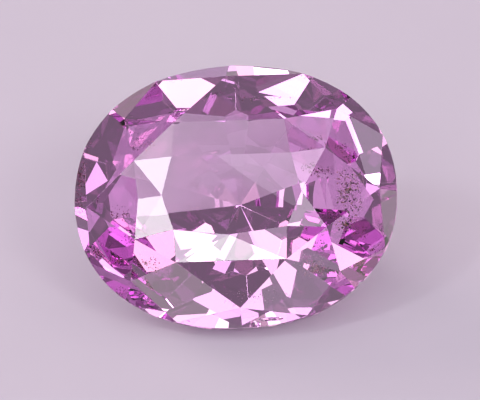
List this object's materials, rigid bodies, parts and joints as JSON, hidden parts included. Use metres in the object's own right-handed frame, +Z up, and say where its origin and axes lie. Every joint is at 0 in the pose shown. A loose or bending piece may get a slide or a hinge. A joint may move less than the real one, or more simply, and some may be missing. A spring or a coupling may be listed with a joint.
{
  "type": "pink sapphire",
  "caption": "Loose oval faceted gemstone with a brilliant crown and pointed pavilion, lying on a pavilion facet with its table facing up and forwards.",
  "frame": {"origin": "centre of the stone's bounding box at floor level, under the stone as it lies", "axes": "+X along the stone's length, -Y towards the viewer and the way the table leans, +Z up"},
  "size_m": [0.01, 0.0068, 0.0055],
  "materials": {
    "sapphire_crystal": "clear mauve-pink crystal, hard gloss polish on every facet, small natural inclusions"
  },
  "bodies": {
    "root": {"pink_sapphire": "sapphire_crystal"}
  },
  "joints": []
}
